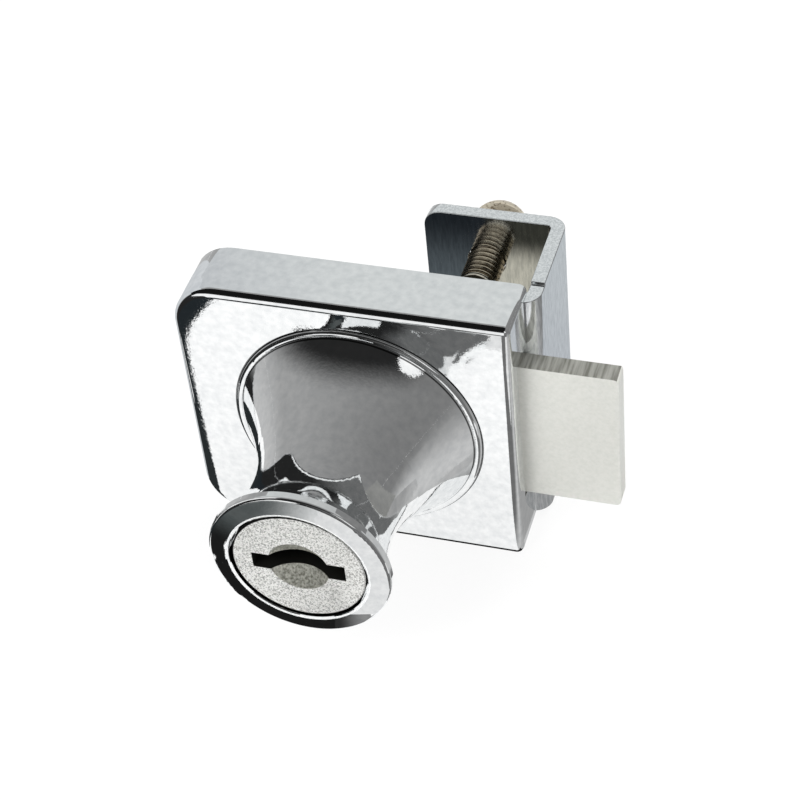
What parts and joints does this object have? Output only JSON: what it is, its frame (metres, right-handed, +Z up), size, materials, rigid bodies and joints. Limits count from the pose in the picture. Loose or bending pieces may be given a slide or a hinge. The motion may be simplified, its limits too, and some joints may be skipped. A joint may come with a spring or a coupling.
{
  "type": "glass cabinet door lock",
  "caption": "Clamp-on lock for a glass cabinet door: a cast case with a horn-shaped knob around a key plug, a flat sliding bolt and a bent clamp with screws behind the glass.",
  "frame": {"origin": "on the plug's axis, in the plane where the glass rests on the pad", "axes": "+X the way the bolt goes out, +Y from the knob toward the back of the glass, +Z up"},
  "size_m": [0.0462, 0.0465, 0.0324],
  "materials": {
    "chrome": "bright chrome on a zinc casting",
    "bracket_chrome": "bright chrome on bent steel sheet",
    "plug_satin": "satin, finely grained",
    "bolt_satin": "satin nickel",
    "spring_steel": "plain",
    "wafer_brass": "stamped",
    "cover_steel": "zinc plated",
    "screw_nickel": "nickel plated",
    "tip_steel": "nickel plated",
    "pad_rubber": "matt"
  },
  "bodies": {
    "lock": {"lock_case": "chrome", "clamp_bracket": "bracket_chrome", "cover_screw_1": "cover_steel", "cover_screw_2": "cover_steel", "cover_screw_3": "cover_steel", "cover_screw_4": "cover_steel", "glass_pad": "pad_rubber"},
    "plug": {"lock_plug": "plug_satin", "wafer_1": "wafer_brass", "wafer_2": "wafer_brass", "wafer_3": "wafer_brass", "wafer_4": "wafer_brass", "wafer_5": "wafer_brass", "wafer_spring_1": "spring_steel", "wafer_spring_2": "spring_steel", "wafer_spring_3": "spring_steel", "wafer_spring_4": "spring_steel", "wafer_spring_5": "spring_steel", "plug_clip": "spring_steel"},
    "bolt": {"dead_bolt": "bolt_satin"},
    "upper_tip": {"screw_tip_upper": "tip_steel"},
    "upper_screw": {"clamp_screw_upper": "screw_nickel"},
    "lower_tip": {"screw_tip_lower": "tip_steel"},
    "lower_screw": {"clamp_screw_lower": "screw_nickel"}
  },
  "joints": [
    {"name": "key_turn", "type": "hinge", "parent": "lock", "child": "plug", "pos_m": [0, 0, 0], "axis": [0, -1, 0], "range_deg": [0, 180]},
    {"name": "bolt_slide", "type": "slide", "parent": "lock", "child": "bolt", "axis": [1, 0, 0], "range_m": [-0.0098, 0]},
    {"name": "upper_screw_travel", "type": "slide", "parent": "lock", "child": "upper_tip", "axis": [0, 1, 0], "range_m": [-0.00385, 0.0042]},
    {"name": "upper_screw_turn", "type": "hinge", "parent": "upper_tip", "child": "upper_screw", "pos_m": [0.0098, 0.0047, 0.0095], "axis": [0, 1, 0], "range_deg": [-1981, 2161]},
    {"name": "lower_screw_travel", "type": "slide", "parent": "lock", "child": "lower_tip", "axis": [0, 1, 0], "range_m": [-0.00385, 0.0042]},
    {"name": "lower_screw_turn", "type": "hinge", "parent": "lower_tip", "child": "lower_screw", "pos_m": [0.0098, 0.0047, -0.0095], "axis": [0, 1, 0], "range_deg": [-1981, 2161]}
  ],
  "couplings": [
    {"joint": "bolt_slide", "follows": "key_turn", "m_per_rad": -0.0031194},
    {"joint": "upper_screw_turn", "follows": "upper_screw_travel", "rad_per_m": 8976},
    {"joint": "lower_screw_turn", "follows": "lower_screw_travel", "rad_per_m": 8976}
  ]
}
